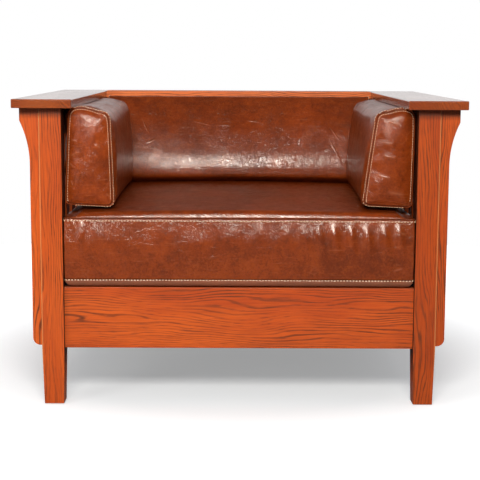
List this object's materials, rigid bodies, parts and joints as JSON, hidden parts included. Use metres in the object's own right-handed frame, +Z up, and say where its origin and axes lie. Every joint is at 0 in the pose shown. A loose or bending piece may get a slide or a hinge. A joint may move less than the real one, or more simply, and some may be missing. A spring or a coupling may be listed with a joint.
{
  "type": "mission armchair",
  "caption": "Mission armchair with an oak post and slat frame, wide flat arms on long corbels, and loose leather seat, arm and back cushions.",
  "frame": {"origin": "on the floor, under the middle of the chair's box", "axes": "+X to the right as seen from the front, +Y to the back, +Z up"},
  "size_m": [1.067, 0.914, 0.737],
  "materials": {
    "oak": "satin",
    "pale_wood": "matte",
    "leather": "gloss",
    "spring_steel": "satin",
    "zinc_plate": "satin",
    "foam": "matte",
    "felt": "matte",
    "black_cloth": "matte",
    "glide_nylon": "matte"
  },
  "bodies": {
    "frame": {"back_cap": "oak", "back_slat_1": "oak", "back_slat_2": "oak", "back_slat_3": "oak", "back_slat_4": "oak", "back_slat_5": "oak", "back_slat_6": "oak", "back_slat_7": "oak", "deck_pad": "felt", "dowel_pins": "pale_wood", "dust_cover": "black_cloth", "floor_glides": "glide_nylon", "front_cleat": "pale_wood", "front_left_corbel": "oak", "front_left_corner_block": "pale_wood", "front_left_post": "oak", "front_rail": "oak", "front_right_corbel": "oak", "front_right_corner_block": "pale_wood", "front_right_post": "oak", "left_arm_board": "oak", "left_cleat": "pale_wood", "left_lower_rail": "oak", "left_slat_1": "oak", "left_slat_2": "oak", "left_slat_3": "oak", "left_slat_4": "oak", "left_slat_5": "oak", "left_slat_6": "oak", "left_upper_rail": "oak", "rear_cleat": "pale_wood", "rear_left_corbel": "oak", "rear_left_corner_block": "pale_wood", "rear_left_post": "oak", "rear_lower_rail": "oak", "rear_right_corbel": "oak", "rear_right_corner_block": "pale_wood", "rear_right_post": "oak", "rear_upper_rail": "oak", "right_arm_board": "oak", "right_cleat": "pale_wood", "right_lower_rail": "oak", "right_slat_1": "oak", "right_slat_2": "oak", "right_slat_3": "oak", "right_slat_4": "oak", "right_slat_5": "oak", "right_slat_6": "oak", "right_upper_rail": "oak", "seat_springs": "spring_steel", "spring_clips": "zinc_plate", "wood_screws": "zinc_plate"},
    "seat_cushion": {"seat_cushion": "leather", "seat_core": "foam"},
    "left_arm_cushion": {"left_arm_cushion": "leather", "left_arm_core": "foam"},
    "right_arm_cushion": {"right_arm_cushion": "leather", "right_arm_core": "foam"},
    "back_cushion": {"back_cushion": "leather", "back_core": "foam"}
  },
  "joints": [
    {"name": "seat_pull", "type": "slide", "parent": "frame", "child": "seat_cushion", "axis": [0, -1, 0], "range_m": [0, 0.86]},
    {"name": "left_arm_pull", "type": "slide", "parent": "frame", "child": "left_arm_cushion", "axis": [0, -1, 0], "range_m": [0, 0.66]},
    {"name": "right_arm_pull", "type": "slide", "parent": "frame", "child": "right_arm_cushion", "axis": [0, -1, 0], "range_m": [0, 0.66]},
    {"name": "back_lift", "type": "slide", "parent": "frame", "child": "back_cushion", "axis": [0, 0, 1], "range_m": [0, 0.27]}
  ]
}
